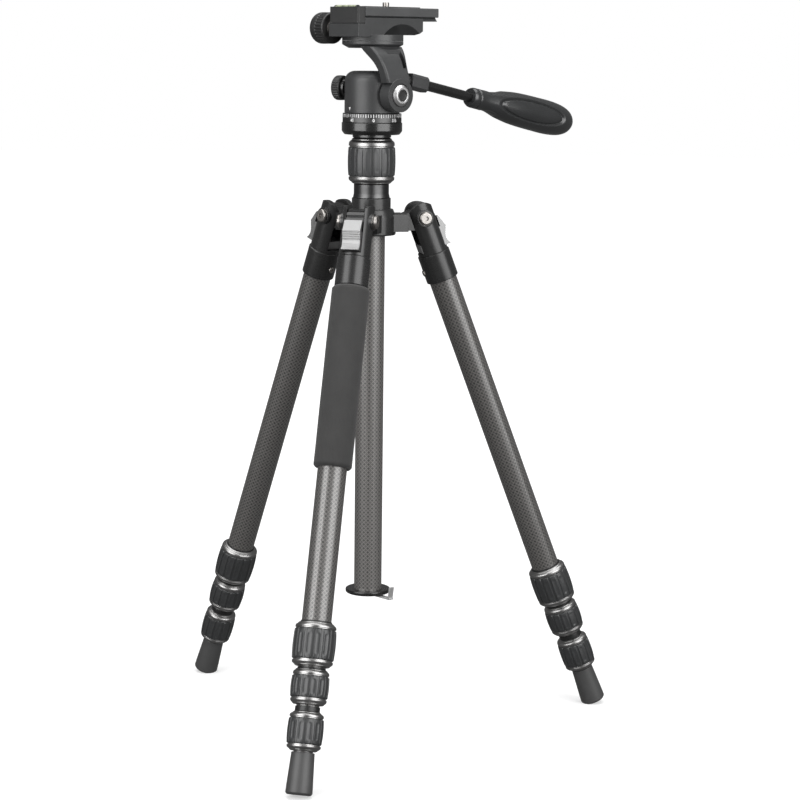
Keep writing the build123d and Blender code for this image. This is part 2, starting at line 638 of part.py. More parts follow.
def quick_plate():
    """Quick-release plate with its dovetail and a stepped hole for the camera screw."""
    half = PLATE_WIDTH / 2
    body = block((PLATE_FRONT, -half, PLATE_BOTTOM), (PLATE_REAR, half, PLATE_TOP))
    body = chamfer(body.edges().filter_by(Axis.X), 0.6)
    body += dovetail(0, DOVETAIL_BOTTOM, PLATE_BOTTOM + 0.1, PLATE_FRONT, PLATE_REAR)
    hole = rod(SCREW_SHANK_RADIUS + FIT, 180, 220) + rod(SCREW_POCKET_RADIUS, 180, PLATE_BOTTOM + 1.2)
    return body - Pos(SCREW_X, 0, 0) * hole


def plate_pad():
    """Rubber pad on the plate that the camera rests on."""
    half = PLATE_WIDTH / 2 - PAD_INSET
    pad = block((PLATE_FRONT + PAD_INSET, -half, PLATE_TOP), (PAD_REAR, half, PAD_TOP))
    return pad - Pos(SCREW_X, 0, 0) * rod(PAD_HOLE_RADIUS, 200, 220)


def camera_screw():
    """Camera screw held in the plate: slotted head below, thread above."""
    head_low = DOVETAIL_BOTTOM + 0.9
    head_high = PLATE_BOTTOM + 0.8
    screw = turned([
        (0, head_low, 0), (SCREW_HEAD_RADIUS, head_low, 0.6), (SCREW_HEAD_RADIUS, head_high, 0.3),
        (SCREW_SHANK_RADIUS, head_high, 0), (SCREW_SHANK_RADIUS, PLATE_TOP, 0),
        (SCREW_RADIUS, PLATE_TOP, 0), (SCREW_RADIUS, SCREW_TIP, 0.5), (0, SCREW_TIP, 0),
    ])
    screw -= Pos(0, 0, head_low) * Box(20, 1.6, 2.4)
    return Pos(SCREW_X, 0, 0) * screw


def handle_rod():
    """Steel rod of the handle, threaded into its clamp."""
    return handle_direction() * rod(ROD_RADIUS, -ROD_INSIDE, GRIP_START + 60)


def handle_grip():
    """Moulded grip, bored for the rod."""
    points = [(radius, GRIP_START + share * GRIP_LENGTH) for share, radius in GRIP_OUTLINE]
    outer = Spline(*points)
    start, end = points[0], points[-1]
    edges = [outer, Polyline(end, (0, start[1]), start)]
    grip = revolve(Plane.XZ * make_face(Curve() + edges), Axis.Z)
    return handle_direction() * (grip - rod(ROD_RADIUS + 0.05, 0, GRIP_START + 60))


# ---------------------------------------------------------------- assembly
def head_parts():
    """Every part of the head, turned to the handle's direction."""
    parts = {
        "pan_base": pan_base(),
        "pan_scale": pan_scale(),
        "pan_housing": pan_housing(),
        "pan_knob": pan_knob(),
        "tilt_bracket": tilt_bracket(),
        "tilt_cap": tilt_cap(),
        "handle_clamp": handle_clamp(),
        "platform": platform(),
        "level_block": level_block(),
        "level_vial": level_vial(),
        "clamp_jaw": clamp_jaw(),
        "clamp_knob": clamp_knob(),
        "quick_plate": quick_plate(),
        "plate_pad": plate_pad(),
        "camera_screw": camera_screw(),
        "handle_rod": handle_rod(),
        "handle_grip": handle_grip(),
    }
    return {node: Rot(0, 0, HEAD_AZIMUTH) * shape for node, shape in parts.items()}


def column_parts():
    """Every part of the spider and the centre column."""
    return {
        "spider": spider(),
        "hub_collet": hub_collet(),
        "column_lock": column_lock(),
        "column_tube": column_tube(),
        "column_top_plate": column_top_plate(),
        "column_end_cap": column_end_cap(),
        "weight_hook": weight_hook(),
    }


def export(parts):
    """Put the origin on the floor under the middle of the tripod and write each part."""
    os.makedirs("parts", exist_ok=True)
    boxes = [shape.bounding_box() for shape in parts.values()]
    low_x = min(box.min.X for box in boxes)
    high_x = max(box.max.X for box in boxes)
    low_y = min(box.min.Y for box in boxes)
    high_y = max(box.max.Y for box in boxes)
    column_x = -(low_x + high_x) / 2
    column_y = -(low_y + high_y) / 2
    move = Pos(column_x, column_y, pivot_height())
    for node, shape in parts.items():
        export_step(move * shape, f"parts/{node}.step")
    print(f"column axis at x {column_x:.4f} y {column_y:.4f}, pivots at z {pivot_height():.4f}")


all_parts = column_parts() | head_parts()
for leg_name, leg_azimuth in LEG_AZIMUTHS.items():
    all_parts |= leg_parts(leg_name, leg_azimuth)
export(all_parts)
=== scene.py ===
import json
import math

import bpy
from mathutils import Matrix, Vector


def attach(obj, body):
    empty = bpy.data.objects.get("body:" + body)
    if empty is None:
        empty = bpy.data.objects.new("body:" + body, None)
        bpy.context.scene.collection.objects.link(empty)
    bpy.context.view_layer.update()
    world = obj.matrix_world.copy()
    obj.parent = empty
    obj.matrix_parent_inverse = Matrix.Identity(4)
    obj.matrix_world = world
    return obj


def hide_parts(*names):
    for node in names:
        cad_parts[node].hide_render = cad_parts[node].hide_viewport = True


# Looks of the travel tripod with its pan head.  Everything is in metres in the frame of the CAD
# model, so lengths taken from it are written in millimetres times MM.
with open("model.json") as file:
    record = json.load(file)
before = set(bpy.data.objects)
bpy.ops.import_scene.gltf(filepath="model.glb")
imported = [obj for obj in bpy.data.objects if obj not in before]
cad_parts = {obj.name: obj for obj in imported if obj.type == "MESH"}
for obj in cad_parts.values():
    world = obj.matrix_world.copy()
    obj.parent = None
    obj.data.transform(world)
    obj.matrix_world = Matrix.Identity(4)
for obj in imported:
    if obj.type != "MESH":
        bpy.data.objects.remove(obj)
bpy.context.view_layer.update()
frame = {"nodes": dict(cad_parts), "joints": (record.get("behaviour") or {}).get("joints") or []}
nodes = frame["nodes"]
joints = {joint["name"]: joint for joint in frame["joints"]}
MM = 0.001

# ---------------------------------------------------------------- dimensions, in millimetres
# Twist locks: start, end, largest radius, radius of the ends, bore, ribs round it.  A leg's start
# and end are measured down from its pivot, the column's up from the height of the pivots.
LEG_LOCKS = (
    (390.0, 431.0, 20.2, 15.6, 12.9, 15),
    (433.4, 466.4, 18.0, 13.9, 11.3, 14),
    (472.6, 509.0, 16.9, 11.8, 9.7, 13),
)
LEG_LOCK_BANDS = (5.6, 5.6)       # height of the lower and the upper metal band
LEG_SEALS = (1.2, 1.5, 4.6)       # height of the dark ring above each lock
COLUMN_LOCK = (34.0, 79.0, 23.6, 18.2, 14.6, 17)
COLUMN_LOCK_BANDS = (6.8, 8.4)
COLUMN_SEAL = 0.3
BAND_STEP = 0.1                   # how far the bands lie below the ends of the sleeve
BAND_GROOVE = 0.9                 # depth of the groove between a band and the sleeve
BAND_SHOWN = 0.97                 # share of a band that the sleeve leaves uncovered
SEAL_THICKNESS = 0.85
SEAL_REACH = 2.0                  # from a lock's bore to the outside of its dark ring
SEAL_SUNK = 1.0                   # length of the dark ring inside the lock
SLEEVE_THICKNESS = 2.2
SLEEVE_CROWN = 0.8                # how much fuller a sleeve is at its middle
SLEEVE_ROUNDING = (0.9, 1.3)      # drop of a sleeve's ends, and how far from the end it begins
RIB_DEPTH = 0.9
RIB_CORNER = 1.5
RIB_GAP = 1.2                     # from a sleeve's end to its ribs
RIB_WIDTH = 0.36                  # half the width of a rib, as a share of the ribs' pitch
PANEL_DEPTHS = {"leg": 0.45, "column": 0.15}
PANEL_CORNER = 0.9
PANEL_WIDTH = 0.17                # half the width of a panel, as a share of the ribs' pitch
PANEL_HEIGHT = 0.62               # share of the sleeve's height
TUBE_RADII = (14.0, 12.3, 10.7, 9.1)
WEAVE_PITCH = 4.1
FOAM_START = 66.6
FOAM_END = 243.0
FOAM_RADIUS = 18.5
FOAM_BORE = TUBE_RADII[0] + 0.1
FOAM_RIM = 2.4                    # how far the ends of the foam round inwards
FOAM_RIM_SPAN = (-1.2, 2.6)       # where that rounding begins and ends, from the foam's end
FOAM_WAVE = 0.05
FOAM_PORE = 0.9
SCREW_HEAD_RADIUS = 6.5
WASHER_GAP = 0.2
WASHER_RADIUS = 8.05
WASHER_BACK = 16.2                # distances of the washer's two faces from the leg's middle
WASHER_FACE = 16.95

SCALE_RADIUS = 29.0
SCALE_ZERO = -72.6        # direction of the scale's zero, in degrees
SCALE_TOP = 102.4
TICK_STEP = 5             # degrees between two ticks
LONG_TICK = (0.7, 3.5)    # width and height
SHORT_TICK = (0.55, 3.0)
NUMERAL_STEP = 45         # degrees between two numerals
NUMERAL_SIZE = 4.2
NUMERAL_HEIGHT = 95.2
NUMERAL_RAISED = 0.08
NUMERAL_WEIGHT = 0.12     # how much bolder than the plain letters
MARK_RAISED = 0.12
MARK_SUNK = 0.05
HOUSING_RADIUS = 27.2
INDEX_DIRECTION = -128.8
INDEX_HEIGHT = 105.6
INDEX_OUTLINE = ((-1.5, 3.4), (0, 0), (1.5, 3.4))
TILT_HEIGHT = 121.0
CAP_DISC_START = -42.7
CAP_DISC_OUTLINE = (              # radius, height, rounding
    (0, 0, 0), (5.6, 0, 0), (5.6, 0.8, 0.3), (4.2, 0.9, 0.2), (3.9, 0.6, 0.2), (0, 0.6, 0),
)
GRIP_START = 63.0
GRIP_LENGTH = 152.0
GRIP_BORE = 4.0
GRIP_OUTLINE = (
    (0.00, 8.8), (0.02, 10.0), (0.12, 10.3), (0.27, 13.7), (0.42, 16.4),
    (0.62, 17.3), (0.80, 17.0), (0.92, 13.6), (0.985, 6.4), (1.0, 0.0),
)
GRIP_TIP = 0.93                   # share of the length where the tip begins
GRIP_GROOVE = (0.052, 0.005, 0.9)  # collar's groove: share of the length, spread, depth
GRIP_PANEL_MIDDLE = 0.53          # share of the length
GRIP_PANEL_LENGTH = 47.0          # half of the panel's length
GRIP_PANEL_WIDTH = 12.4           # half of its width, half way along the grip
GRIP_PANEL_WIDENING = 2.0         # what the grip's whole length would add to that
GRIP_PANEL_BORDER = 14.0          # millimetres that stand for the whole oval at its border
GRIP_PANEL_EDGE = (-0.9, 0.5)     # where its side begins and ends, from the oval
GRIP_PANEL_DEPTH = 1.1
GRIP_RIM = (-1.1, 0.8, 1.2)       # deeper line round the panel: place, spread, depth
NECK_FLAT = (0.2, 0.09, 0.75, 1.3)  # share of the length, half length, half angle, depth
KNOB_FLUTES = 30
KNOB_SCREW_RADIUS = 3.0
PAN_KNOB = (28.2, 31.2, 41.0, 12.2)        # collar, start, end, radius
PAN_SCREW_START = 16.0
PAN_COLLAR_RADIUS = 9.0
PAN_FLUTE_DEPTH = 0.8
CLAMP_KNOB_PLACE = (-27.0, 0.0, 185.0)
CLAMP_KNOB = (27.6, 38.0, 48.0, 15.3)      # start, rim, end, radius
CLAMP_SCREW_START = 4.0
CLAMP_COLLAR = (8.0, 4.2)                  # radius, height
CLAMP_FLUTE_DEPTH = 0.9
CLAMP_DOME = 9.4
VIAL_PLACE = (-34.0, 0.0, 204.0)
LIQUID = (2.5, 14.6)                       # radius, half length
BUBBLE = (1.3, 3.6, 1.5)                   # radius, half length, height in the liquid
VIAL_RING = (2.9, 3.06, 4.6, 0.3)          # inside, outside, distance from the middle, half width
VIAL_CAP = (3.08, 14.4, 15.9)              # radius, start, end
NECK_OVERLAP = 0.2                         # how far a collar reaches into its knob


# ---------------------------------------------------------------- places, from the joints
def joint_axis(name):
    """Direction of a joint's axis."""
    return Vector(joints[name]["axis"]).normalized()


def joint_point(name):
    """Point that a hinge turns about."""
    return Vector(joints[name]["pos_m"])


def place(origin, x_axis, z_axis):
    """Matrix of a part's own axes in the frame."""
    z_axis = z_axis.normalized()
    y_axis = z_axis.cross(x_axis).normalized()
    x_axis = y_axis.cross(z_axis)
    turn = Matrix((x_axis, y_axis, z_axis)).transposed().to_4x4()
    return Matrix.Translation(origin) @ turn


def leg_place(leg):
    """Leg axes: origin at the pivot, z up the leg, x outwards."""
    return place(
        joint_point(f"leg_{leg}_fold"),
        joint_axis(f"leg_{leg}_tab_slide"),
        -joint_axis(f"leg_{leg}_section_2_slide"),
    )


LEGS = ("front", "right", "left")
pivot_height = joint_point("leg_front_fold").z
column_axis = joint_point("pan")
centre = Vector((column_axis.x, column_axis.y, pivot_height))
upwards = Vector((0, 0, 1))
column_place = Matrix.Translation(centre)
head_place = place(centre, joint_axis("plate_slide"), upwards)
handle_axis = joint_axis("handle_twist")
head_y = head_place.to_3x3().col[1]
handle_place = place(joint_point("handle_twist"), head_y.cross(handle_axis), handle_axis)
knob_height = joint_point("pan_knob_turn").z
pan_knob_place = place(
    Vector((centre.x, centre.y, knob_height)), upwards, joint_axis("pan_knob_turn")
)
clamp_knob_place = (
    head_place
    @ Matrix.Translation(Vector(CLAMP_KNOB_PLACE) * MM)
    @ Matrix.Rotation(math.radians(-90), 4, "X")
)


# ---------------------------------------------------------------- node helpers
def new_material(name):
    """Empty Principled material."""
    material = bpy.data.materials.new(name)
    material.use_nodes = True
    return material, material.node_tree, material.node_tree.nodes["Principled BSDF"]


def add(tree, kind, inputs=None, **settings):
    """Add a node.  An input is a value or another node's output."""
    made = tree.nodes.new(kind)
    for name, value in settings.items():
        setattr(made, name, value)
    for name, value in (inputs or {}).items():
        if isinstance(value, bpy.types.NodeSocket):
            tree.links.new(value, made.inputs[name])
        else:
            made.inputs[name].default_value = value
    return made


def calculate(tree, operation, *values):
    """Output of a Math node."""
    return add(tree, "ShaderNodeMath", dict(enumerate(values)), operation=operation).outputs[0]


def blend_colours(tree, share, first, second):
    """Output of a colour mix; share 0 gives the first colour."""
    inputs = {0: share, 6: first, 7: second}
    return add(tree, "ShaderNodeMix", inputs, data_type="RGBA").outputs[2]


def object_point(tree):
    """Point in the object's own axes, in metres."""
    return add(tree, "ShaderNodeTexCoord").outputs["Object"]


def point_in(tree, matrix):
    """Point in the axes of a placed part."""
    inputs = {
        "Vector": object_point(tree),
        "Location": matrix.to_translation(),
        "Rotation": matrix.to_euler("XYZ"),
    }
    return add(tree, "ShaderNodeMapping", inputs, vector_type="TEXTURE").outputs[0]


def noise(tree, point, size, detail=3.0):
    """Noise between 0 and 1 with features of a size in millimetres."""
    inputs = {"Vector": point, "Scale": 1 / (size * MM), "Detail": detail}
    return add(tree, "ShaderNodeTexNoise", inputs).outputs["Fac"]


def spread(tree, value, low, high):
    """Stretch a noise value, which stays near its middle, between two numbers."""
    inputs = {"Value": value, "From Min": 0.3, "From Max": 0.7, "To Min": low, "To Max": high}
    return add(tree, "ShaderNodeMapRange", inputs).outputs["Result"]


def grey(value, warm=0.0):
    """Grey colour; warm above 0 is slightly red, below 0 slightly blue."""
    return (value * (1 + warm), value, value * (1 - warm), 1.0)


def round_edges(tree, radius):
    """Normal that rounds the sharp edges by a radius in millimetres."""
    return add(tree, "ShaderNodeBevel", {"Radius": radius * MM}, samples=6).outputs[0]


def edge_share(tree, rounded, strength):
    """How far a point is on a rounded edge, for the painted edge highlight there."""
    plain = add(tree, "ShaderNodeNewGeometry").outputs["Normal"]
    dot = add(tree, "ShaderNodeVectorMath", {0: rounded, 1: plain}, operation="DOT_PRODUCT")
    turned_away = calculate(tree, "SUBTRACT", 1.0, dot.outputs["Value"])
    share = calculate(tree, "MULTIPLY", turned_away, strength)
    return calculate(tree, "MINIMUM", share, 1.0)


def raise_by(tree, height, depth, normal=None):
    """Bump of a depth in millimetres from a height between 0 and 1."""
    inputs = {"Height": height, "Distance": depth * MM, "Strength": 1.0}
    if normal is not None:
        inputs["Normal"] = normal
    return add(tree, "ShaderNodeBump", inputs).outputs[0]


# ---------------------------------------------------------------- materials
def weighted(tree, first, first_weight, second, second_weight):
    """Sum of two values, each times its weight."""
    rest = calculate(tree, "MULTIPLY", second, second_weight)
    return calculate(tree, "MULTIPLY_ADD", first, first_weight, rest)


def grained(name, dark, light, roughness, grain, depth, edge=0.35, edge_highlight=0.0, coat=0.0):
    """Painted, moulded or cast surface: mottled colour, a fine grain and softened edges.

    grain is its size, depth its height and edge the radius of the edges, all in millimetres.
    The argument after edge sets how strongly the rounded edges are painted paler: a painted edge
    highlight.
    """
    material, tree, shader = new_material(name)
    point = object_point(tree)
    fine = noise(tree, point, grain, 4.0)
    cloud = noise(tree, point, 18.0)
    mottle = weighted(tree, fine, 0.6, cloud, 0.4)
    colour = blend_colours(tree, spread(tree, mottle, 0.0, 1.0), dark, light)
    rounded = round_edges(tree, edge)
    # Painted edge highlight: the rounded edges are painted paler than the flats.
    if edge_highlight:
        edge_highlight_colour = tuple(min(1.0, part * 2.4) for part in light[:3]) + (1.0,)
        colour = blend_colours(tree, edge_share(tree, rounded, edge_highlight), colour, edge_highlight_colour)
    tree.links.new(colour, shader.inputs["Base Color"])
    gloss = spread(tree, fine, roughness - 0.06, roughness + 0.06)
    tree.links.new(gloss, shader.inputs["Roughness"])
    tree.links.new(raise_by(tree, fine, depth, rounded), shader.inputs["Normal"])
    shader.inputs["Coat Weight"].default_value = coat
    shader.inputs["Coat Roughness"].default_value = 0.12
    return material


def turned_metal(name, colour, roughness):
    """Metal with the fine rings that a lathe leaves round the z axis."""
    material, tree, shader = new_material(name)
    point = object_point(tree)
    height = add(tree, "ShaderNodeSeparateXYZ", {0: point}).outputs[2]
    stretched = add(tree, "ShaderNodeCombineXYZ", {2: height}).outputs[0]
    rings = noise(tree, stretched, 0.35, 2.0)
    patches = noise(tree, point, 9.0)
    darker = tuple(part * 0.82 for part in colour[:3]) + (1.0,)
    tone = blend_colours(tree, spread(tree, patches, 0.0, 1.0), darker, colour)
    tree.links.new(tone, shader.inputs["Base Color"])
    gloss = spread(tree, rings, roughness - 0.05, roughness + 0.05)
    tree.links.new(gloss, shader.inputs["Roughness"])
    rounded = round_edges(tree, 0.25)
    tree.links.new(raise_by(tree, rings, 0.006, rounded), shader.inputs["Normal"])
    shader.inputs["Metallic"].default_value = 1.0
    return material


def brushed_metal(name, colour, roughness):
    """Bright metal with short scratches in all directions and rounded edges."""
    material, tree, shader = new_material(name)
    point = object_point(tree)
    squeezed = add(tree, "ShaderNodeMapping", {"Vector": point, "Scale": (1, 1, 12)}).outputs[0]
    scratches = noise(tree, squeezed, 1.6, 4.0)
    darker = tuple(part * 0.8 for part in colour[:3]) + (1.0,)
    tone = blend_colours(tree, spread(tree, scratches, 0.0, 1.0), darker, colour)
    tree.links.new(tone, shader.inputs["Base Color"])
    gloss = spread(tree, scratches, roughness - 0.07, roughness + 0.07)
    tree.links.new(gloss, shader.inputs["Roughness"])
    rounded = round_edges(tree, 0.3)
    tree.links.new(raise_by(tree, scratches, 0.01, rounded), shader.inputs["Normal"])
    shader.inputs["Metallic"].default_value = 1.0
    return material


def along_tow(tree, across, along):
    """Point in a tow's own measure, drawn out along its threads."""
    drawn_out = calculate(tree, "MULTIPLY", along, 0.05)
    return add(tree, "ShaderNodeCombineXYZ", {0: across, 1: drawn_out}).outputs[0]


def carbon(name, matrix, radius, dark, light):
    """Carbon tube: crossed tows at 45 degrees under clear lacquer; the seams between the tows and the
    tows lying one way are painted paler, a painted sheen standing in for their reflection.
    """
    material, tree, shader = new_material(name)
    parts = add(tree, "ShaderNodeSeparateXYZ", {0: point_in(tree, matrix)})
    around = calculate(tree, "ARCTAN2", parts.outputs[1], parts.outputs[0])
    cells = round(2 * math.pi * radius / WEAVE_PITCH)
    turns = calculate(tree, "MULTIPLY", around, cells / (2 * math.pi))
    rise = calculate(tree, "MULTIPLY", parts.outputs[2], 1 / (WEAVE_PITCH * MM))
    one_way = calculate(tree, "ADD", turns, rise)
    other_way = calculate(tree, "SUBTRACT", turns, rise)
    cell_sum = calculate(
        tree, "ADD", calculate(tree, "FLOOR", one_way), calculate(tree, "FLOOR", other_way)
    )
    on_top = calculate(tree, "PINGPONG", cell_sum, 1.0)
    from_seam_one = calculate(tree, "PINGPONG", one_way, 0.5)
    from_seam_other = calculate(tree, "PINGPONG", other_way, 0.5)
    from_seam = calculate(tree, "MINIMUM", from_seam_one, from_seam_other)
    seam_range = {"Value": from_seam, "From Min": 0.05, "From Max": 0.20, "To Min": 1.0, "To Max": 0.0}
    seam = add(tree, "ShaderNodeMapRange", seam_range).outputs["Result"]
    tow_mix = {0: on_top, 2: from_seam_one, 3: from_seam_other}
    crown = add(tree, "ShaderNodeMix", tow_mix, data_type="FLOAT").outputs[0]
    threads_one = along_tow(tree, one_way, other_way)
    threads_other = along_tow(tree, other_way, one_way)
    thread_mix = {0: on_top, 4: threads_one, 5: threads_other}
    thread_point = add(tree, "ShaderNodeMix", thread_mix, data_type="VECTOR").outputs[1]
    thread_noise = {"Vector": thread_point, "Scale": 9.0, "Detail": 2.0}
    threads = add(tree, "ShaderNodeTexNoise", thread_noise).outputs["Fac"]
    # Painted sheen: the tows lying one way, and the seams between the tows, are painted paler than the
    # rest.
    painted_tow_sheen = calculate(tree, "MULTIPLY_ADD", on_top, 0.22, spread(tree, threads, 0.0, 0.3))
    share = calculate(tree, "MAXIMUM", seam, painted_tow_sheen)
    tree.links.new(blend_colours(tree, share, dark, light), shader.inputs["Base Color"])
    tree.links.new(raise_by(tree, calculate(tree, "SQRT", crown), 0.10), shader.inputs["Normal"])
    shader.inputs["Metallic"].default_value = 0.25
    shader.inputs["Roughness"].default_value = 0.36
    shader.inputs["Specular IOR Level"].default_value = 0.8
    shader.inputs["Coat Weight"].default_value = 0.6
    shader.inputs["Coat Roughness"].default_value = 0.24
    return material


def foam_material():
    """Closed-cell foam: dull, with small pores."""
    material, tree, shader = new_material("foam")
    point = object_point(tree)
    pores = {"Vector": point, "Scale": 1 / (FOAM_PORE * MM)}
    cells = add(tree, "ShaderNodeTexVoronoi", pores).outputs["Distance"]
    fine = noise(tree, point, 0.5, 4.0)
    cloud = noise(tree, point, 14.0)
    mottle = weighted(tree, fine, 0.5, cloud, 0.5)
    colour = blend_colours(tree, spread(tree, mottle, 0.0, 1.0), grey(0.015, 0.02), grey(0.025, 0.02))
    tree.links.new(colour, shader.inputs["Base Color"])
    height = weighted(tree, cells, 0.7, fine, 0.5)
    tree.links.new(raise_by(tree, height, 0.16), shader.inputs["Normal"])
    shader.inputs["Roughness"].default_value = 0.85
    shader.inputs["Sheen Weight"].default_value = 0.12
    shader.inputs["Sheen Roughness"].default_value = 0.6
    return material


def glass_material():
    """Clear tube of the level."""
    material, tree, shader = new_material("level_glass")
    ripple = noise(tree, object_point(tree), 4.0)
    tree.links.new(raise_by(tree, ripple, 0.01), shader.inputs["Normal"])
    shader.inputs["Base Color"].default_value = (0.92, 0.96, 0.90, 1.0)
    shader.inputs["Roughness"].default_value = 0.04
    shader.inputs["IOR"].default_value = 1.45
    shader.inputs["Transmission Weight"].default_value = 1.0
    return material


def floor_material():
    """Pale studio floor that grows as bright as the backdrop in the distance."""
    material, tree, shader = new_material("floor")
    point = object_point(tree)
    patches = noise(tree, point, 900.0)
    colour = blend_colours(tree, patches, grey(0.58), grey(0.61))
    tree.links.new(colour, shader.inputs["Base Color"])
    distance = add(tree, "ShaderNodeVectorMath", {0: point}, operation="LENGTH").outputs["Value"]
    glow_range = {"Value": distance, "From Min": 0.3, "From Max": 2.5, "To Min": 0.45, "To Max": 1.0}
    glow = add(tree, "ShaderNodeMapRange", glow_range).outputs["Result"]
    tree.links.new(glow, shader.inputs["Emission Strength"])
    shader.inputs["Emission Color"].default_value = (1, 1, 1, 1)
    shader.inputs["Roughness"].default_value = 0.9
    return material


LEG_WEAVE = (grey(0.014, 0.04), grey(0.15, 0.04))        # dark colour of the tows and the light colour of their painted sheen
# The column's weave is painted lighter than the legs': a lit copy of the same carbon, painted light.
COLUMN_WEAVE_LIT = (grey(0.030, 0.04), grey(0.19, 0.04))

casting_black = grained(
    "casting_black", grey(0.014), grey(0.023),
    roughness=0.28, grain=0.35, depth=0.010, edge=0.5, edge_highlight=0.8,
)
head_paint = grained(
    "head_paint", grey(0.030, -0.02), grey(0.046, -0.02),
    roughness=0.40, grain=0.7, depth=0.04, edge=0.6, edge_highlight=1.4,
)
plate_paint = grained(
    "plate_paint", grey(0.044, -0.02), grey(0.068, -0.02),
    roughness=0.44, grain=0.7, depth=0.04, edge=0.5, edge_highlight=1.4,
)
block_paint = grained(
    "block_paint", grey(0.020), grey(0.030),
    roughness=0.46, grain=0.5, depth=0.04, edge=0.6, edge_highlight=2.0,
)
gloss_black = grained(
    "gloss_black", grey(0.006), grey(0.010),
    roughness=0.28, grain=0.8, depth=0.004, edge=1.4, coat=0.4,
)
knob_plastic = grained(
    "knob_plastic", grey(0.012), grey(0.022), roughness=0.42, grain=0.6, depth=0.02
)
grip_plastic = grained(
    "grip_plastic", grey(0.020, -0.03), grey(0.029, -0.03),
    roughness=0.32, grain=0.45, depth=0.010, coat=0.3,
)
rubber = grained(
    "rubber", grey(0.025, -0.03), grey(0.037, -0.03),
    roughness=0.40, grain=0.6, depth=0.02, edge=0.3, coat=0.2,
)
pad_rubber = grained(
    "pad_rubber", grey(0.016), grey(0.026), roughness=0.7, grain=0.5, depth=0.04
)
foot_rubber = grained(
    "foot_rubber", grey(0.046), grey(0.068), roughness=0.46, grain=0.8, depth=0.03, edge=0.6
)
print_white = grained(
    "print_white", grey(0.70), grey(0.80), roughness=0.5, grain=0.5, depth=0.004
)
line_black = grained(
    "line_black", grey(0.006), grey(0.012), roughness=0.4, grain=0.4, depth=0.004
)
liquid = grained(
    "level_liquid", (0.50, 0.53, 0.38, 1), (0.57, 0.60, 0.45, 1),
    roughness=0.2, grain=3.0, depth=0.004,
)
bubble = grained(
    "level_bubble", (0.82, 0.90, 0.66, 1), (0.90, 0.95, 0.78, 1),
    roughness=0.1, grain=2.0, depth=0.002,
)
screw_steel = brushed_metal("screw_steel", grey(0.36, 0.05), roughness=0.36)
hook_steel = brushed_metal("hook_steel", grey(0.85), roughness=0.5)
tab_silver = brushed_metal("tab_silver", grey(0.34), roughness=0.46)
cap_silver = turned_metal("cap_silver", grey(0.74), roughness=0.36)
band_metal = turned_metal("band_metal", grey(0.36, 0.01), roughness=0.33)
collet_metal = turned_metal("collet_metal", grey(0.10), roughness=0.34)
scale_metal = turned_metal("scale_metal", grey(0.10), roughness=0.42)
foam = foam_material()
glass = glass_material()


# ---------------------------------------------------------------- mesh helpers
def soften(corners, steps=5):
    """Outline with rounded corners from (radius, height, rounding), in millimetres."""
    outline = []
    count = len(corners)
    for number, (radius, height, rounding) in enumerate(corners):
        here = Vector((radius, height))
        if not rounding:
            outline.append((radius, height))
            continue
        before = Vector(corners[number - 1][:2]) - here
        after = Vector(corners[(number + 1) % count][:2]) - here
        reach = min(rounding, before.length * 0.49, after.length * 0.49)
        start = here + before.normalized() * reach
        end = here + after.normalized() * reach
        for step in range(steps + 1):
            share = step / steps
            point = start * (1 - share) ** 2 + here * 2 * share * (1 - share) + end * share ** 2
            outline.append((point.x, point.y))
    return outline


def turning(outline, angles, swell=None):
    """Points and faces of an outline of (radius, height) turned about z, all in millimetres.

    The outline is a closed loop, unless its two ends lie on the axis.  swell changes the radius
    and takes the angle, the radius and the height.
    """
    points = []
    rows = []
    around = len(angles)
    for radius, height in outline:
        if radius < 1e-6:
            rows.append([len(points)] * around)
            points.append(Vector((0, 0, height)) * MM)
            continue
        rows.append(list(range(len(points), len(points) + around)))
        for angle in angles:
            reach = swell(angle, radius, height) if swell else radius
            points.append(Vector((reach * math.cos(angle), reach * math.sin(angle), height)) * MM)
    loop = outline[0][0] > 1e-6
    pairs = list(zip(rows, rows[1:]))
    if loop:
        pairs.append((rows[-1], rows[0]))
    faces = []
    for low, high in pairs:
        for here in range(around):
            there = (here + 1) % around
            corners = [low[here], low[there], high[there], high[here]]
            face = list(dict.fromkeys(corners))
            if len(face) > 2:
                faces.append(face)
    return points, faces


def even_angles(count):
    """Angles spread evenly round a circle."""
    return [2 * math.pi * number / count for number in range(count)]


def make_piece(name, parts, matrix, body, sharp=32):
    """One object from parts of (points, faces, material), placed and riding on a body."""
    points = []
    faces = []
    finishes = []
    materials = []
    for part_points, part_faces, material in parts:
        if material not in materials:
            materials.append(material)
        first = len(points)
        points += part_points
        faces += [[first + corner for corner in face] for face in part_faces]
        finishes += [materials.index(material)] * len(part_faces)
    mesh = bpy.data.meshes.new(name)
    mesh.from_pydata(points, [], faces)
    for material in materials:
        mesh.materials.append(material)
    mesh.polygons.foreach_set("material_index", finishes)
    mesh.update()
    mesh.shade_smooth()
    mesh.set_sharp_from_angle(angle=math.radians(sharp))
    piece = bpy.data.objects.new(name, mesh)
    bpy.context.scene.collection.objects.link(piece)
    piece.matrix_world = matrix
    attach(piece, body)
    return piece


def smooth_step(value, low, high):
    """0 below low, 1 above high, smooth between."""
    share = min(1.0, max(0.0, (value - low) / (high - low)))
    return share * share * (3 - 2 * share)


def rounded_patch(across, along, half_width, half_height, corner):
    """1 inside a rounded rectangle and 0 outside it, with a soft border."""
    over_x = max(abs(across) - half_width + corner, 0.0)
    over_y = max(abs(along) - half_height + corner, 0.0)
    distance = math.hypot(over_x, over_y) - corner
    return 1 - smooth_step(distance, -0.25, 0.3)


# ---------------------------------------------------------------- twist locks
# Places across a rib and its groove, as shares of the ribs' pitch, close together at the edges.
RIB_SAMPLES = (
    -0.5, -0.43, -0.385, -0.35, -0.31, -0.25, -0.16, -0.06,
    0.06, 0.16, 0.25, 0.31, 0.35, 0.385, 0.43,
)


